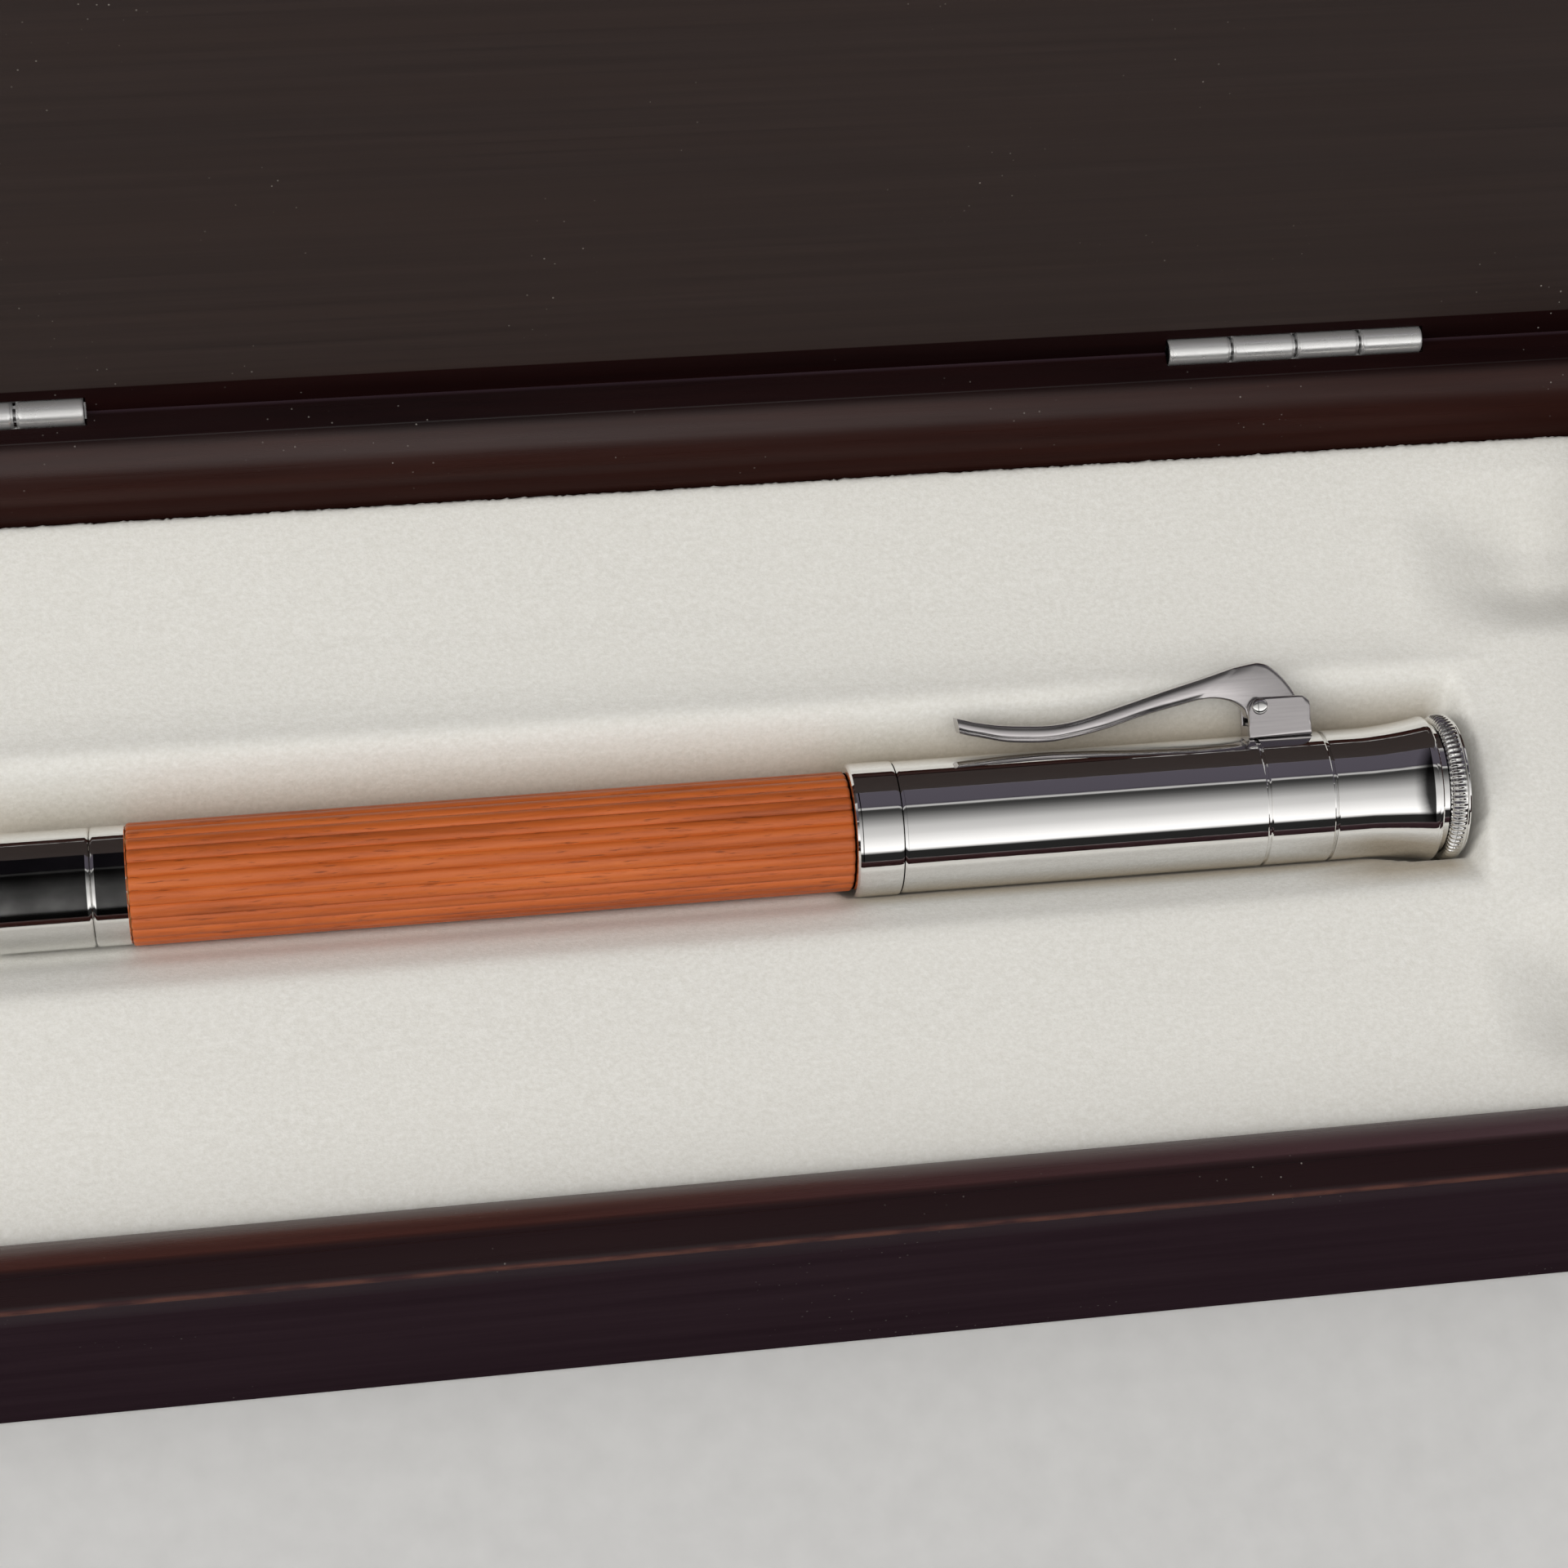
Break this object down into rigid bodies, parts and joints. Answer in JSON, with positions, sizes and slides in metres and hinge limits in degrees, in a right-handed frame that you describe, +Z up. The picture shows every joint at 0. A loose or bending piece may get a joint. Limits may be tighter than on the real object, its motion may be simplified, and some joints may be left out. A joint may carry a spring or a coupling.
{
  "type": "fountain pen case",
  "caption": "Hinged lacquered wooden case with a grooved velour bed for one fountain pen; the pen lies in it and can be lifted.",
  "frame": {"origin": "centre of the case's underside, on the surface it stands on", "axes": "+X along the case towards the pen's crown end, +Y towards the hinges, +Z up"},
  "size_m": [0.2, 0.132, 0.1118],
  "materials": {
    "lacquered_wood": "gloss lacquer",
    "panel": "matt",
    "felt": "matt",
    "tray_foam": "matt",
    "velour": "short pile",
    "ribbed_wood": "waxed",
    "polished_nickel": "polished",
    "satin_nickel": "satin",
    "spring_steel": "satin",
    "brass": "plain",
    "black_plastic": "gloss",
    "nib_metal": "polished",
    "converter_plastic": "clear, tinted"
  },
  "bodies": {
    "case": {"base_front_wall": "lacquered_wood", "base_back_wall": "lacquered_wood", "base_left_wall": "lacquered_wood", "base_right_wall": "lacquered_wood", "base_floor": "panel", "felt_pad": "felt", "tray_support_rails": "panel", "tray_core": "tray_foam", "velour_lining": "velour", "hinge_base_leaf_left": "polished_nickel", "hinge_base_leaf_right": "polished_nickel", "hinge_pin_left": "brass", "hinge_pin_right": "brass", "hinge_base_brads": "brass"},
    "lid": {"lid_board": "lacquered_wood", "hinge_lid_leaf_left": "polished_nickel", "hinge_lid_leaf_right": "polished_nickel", "hinge_lid_brads": "brass"},
    "pen_cap": {"cap_tube": "polished_nickel", "cap_mouth_ring": "polished_nickel", "inner_cap": "black_plastic", "cap_crown": "polished_nickel", "crown_knurled_ring": "polished_nickel", "crown_end_disc": "polished_nickel", "clip_bracket": "satin_nickel", "clip_pin": "spring_steel", "clip_spring": "spring_steel"},
    "pen_barrel": {"barrel_wood": "ribbed_wood", "barrel_tube": "brass", "barrel_end_ring": "polished_nickel", "barrel_end_cap": "polished_nickel", "grip_section": "black_plastic", "section_ring": "polished_nickel", "nib": "nib_metal", "feed": "black_plastic", "ink_converter": "converter_plastic"},
    "pen_clip": {"clip_lever": "satin_nickel"}
  },
  "joints": [
    {"name": "lid_hinge", "type": "hinge", "parent": "case", "child": "lid", "pos_m": [0, 0.042, 0.037], "axis": [1, 0, 0], "range_deg": [0, 117]},
    {"name": "pen_lift", "type": "slide", "parent": "case", "child": "pen_cap", "axis": [0, 0, 1], "range_m": [0, 0.0035]},
    {"name": "cap_pull", "type": "slide", "parent": "pen_cap", "child": "pen_barrel", "axis": [-1, 0, 0], "range_m": [0, 0.017]},
    {"name": "clip_pivot", "type": "hinge", "parent": "pen_cap", "child": "pen_clip", "pos_m": [0.0552, 0.00774, 0.03002], "axis": [0, 0.4384, -0.8988], "range_deg": [0, 4], "stiffness_Nm_per_rad": 0.5, "springref_deg": -2.86}
  ]
}
